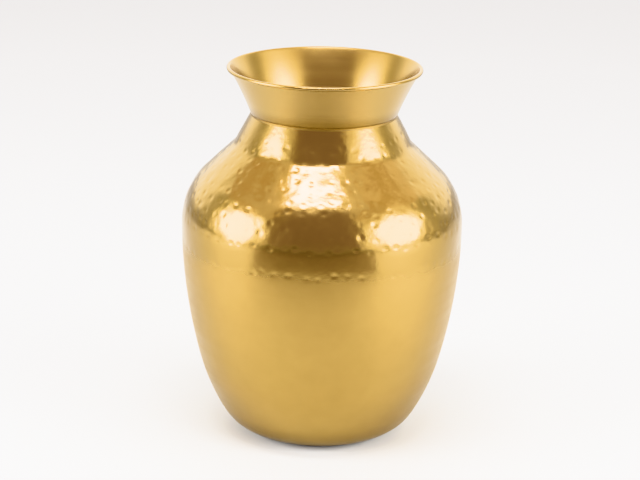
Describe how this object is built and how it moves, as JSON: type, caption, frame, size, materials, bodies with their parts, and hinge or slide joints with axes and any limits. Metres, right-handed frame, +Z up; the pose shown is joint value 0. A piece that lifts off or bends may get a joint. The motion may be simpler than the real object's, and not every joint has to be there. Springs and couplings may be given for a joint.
{
  "type": "hammered brass kalash pot",
  "caption": "Footless brass water pot with a plain spun bowl, a hammered shoulder and a flared, wire-edged mouth, lapped and brazed from sheet.",
  "frame": {"origin": "under the pot's centre, in the plane that its stand ring rests on", "axes": "+Z up along the pot's axis of revolution; X and Y are equivalent"},
  "size_m": [0.1931, 0.1932, 0.2554],
  "materials": {
    "satin_brass": "satin, fine spinning marks",
    "hammered_brass": "hand-hammered, polished on the high spots",
    "spun_brass": "spun and satin polished",
    "spelter": "as brazed, scraped flush",
    "brass_wire": "drawn"
  },
  "bodies": {
    "root": {"lower_bowl": "satin_brass", "upper_shell": "hammered_brass", "belly_braze": "spelter", "collar": "spun_brass", "rim_wire": "brass_wire", "neck_braze": "spelter"}
  },
  "joints": []
}
